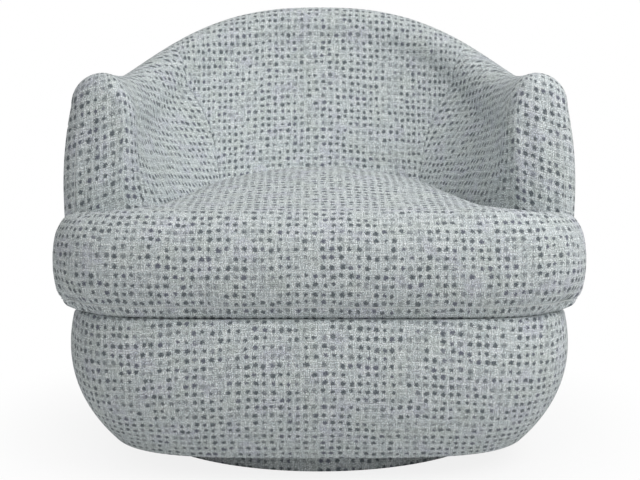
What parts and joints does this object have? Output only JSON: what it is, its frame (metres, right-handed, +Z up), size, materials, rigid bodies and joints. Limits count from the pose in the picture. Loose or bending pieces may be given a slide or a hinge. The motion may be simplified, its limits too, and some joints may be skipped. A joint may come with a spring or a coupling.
{
  "type": "swivel rocker chair",
  "caption": "Fully upholstered swivel rocker: rounded tub back flowing into curved arms, a crowned T-shaped seat cushion, a bowl-shaped body and a low round plinth.",
  "frame": {"origin": "on the floor, on the swivel axis, under the middle of the chair", "axes": "+Z up; the chair faces -Y; +X is to the left of someone sitting in it"},
  "size_m": [0.85, 0.8898, 0.779],
  "materials": {
    "cover": "pale grey-blue woven cloth with irregular dark slate dots",
    "wood": "bare kiln-dried frame timber",
    "steel": "zinc-plated pressed steel and spring wire",
    "dark_steel": "blackened steel",
    "jute": "jute webbing and deck padding",
    "cambric": "black dust-cover cloth",
    "nylon": "nylon glide",
    "rubber": "matt rubber"
  },
  "bodies": {
    "plinth": {"plinth_ring": "wood", "plinth_cover": "cover", "plinth_board": "wood", "glide_1": "nylon", "glide_2": "nylon", "glide_3": "nylon", "glide_4": "nylon", "lower_race": "steel", "ball_ring": "dark_steel", "king_bolt": "dark_steel"},
    "turntable": {"upper_race": "steel", "rocker_cradle": "steel", "pivot_bolt_right": "dark_steel", "pivot_bolt_left": "dark_steel", "rocker_spring_1": "steel", "rocker_spring_2": "steel", "rocker_spring_3": "steel", "rocker_spring_4": "steel", "bumper_front": "rubber", "bumper_rear": "rubber"},
    "chair": {"rocker_plate": "steel", "cross_rail_front": "wood", "cross_rail_rear": "wood", "seat_rail_right": "wood", "seat_rail_left": "wood", "seat_rail_rear": "wood", "seat_rail_front": "wood", "corner_block_right": "wood", "corner_block_left": "wood", "arm_post_right": "wood", "wing_post_right": "wood", "back_post_right": "wood", "arm_post_left": "wood", "wing_post_left": "wood", "back_post_left": "wood", "arm_top_rail_right": "wood", "arm_top_rail_left": "wood", "back_top_rail": "wood", "seat_spring_1": "steel", "seat_spring_2": "steel", "seat_spring_3": "steel", "seat_spring_4": "steel", "seat_spring_5": "steel", "seat_deck": "jute", "dust_cover": "cambric", "body_band_front": "cover", "body_band_rear": "cover", "inside_arm_right": "cover", "outside_arm_right": "cover", "arm_front_right": "cover", "inside_arm_left": "cover", "outside_arm_left": "cover", "arm_front_left": "cover", "inside_back": "cover", "outside_back": "cover", "back_webbing": "jute", "seat_cushion": "cover"}
  },
  "joints": [
    {"name": "swivel_turn", "type": "hinge", "parent": "plinth", "child": "turntable", "pos_m": [0, 0, 0.0862], "axis": [0, 0, 1], "continuous": true},
    {"name": "rock_tilt", "type": "hinge", "parent": "turntable", "child": "chair", "pos_m": [0, 0, 0.14], "axis": [1, 0, 0], "range_deg": [-4.5, 4.5], "stiffness_Nm_per_rad": 340, "springref_deg": -2.63, "deforming": ["rocker_spring_1", "rocker_spring_2", "rocker_spring_3", "rocker_spring_4"]}
  ]
}
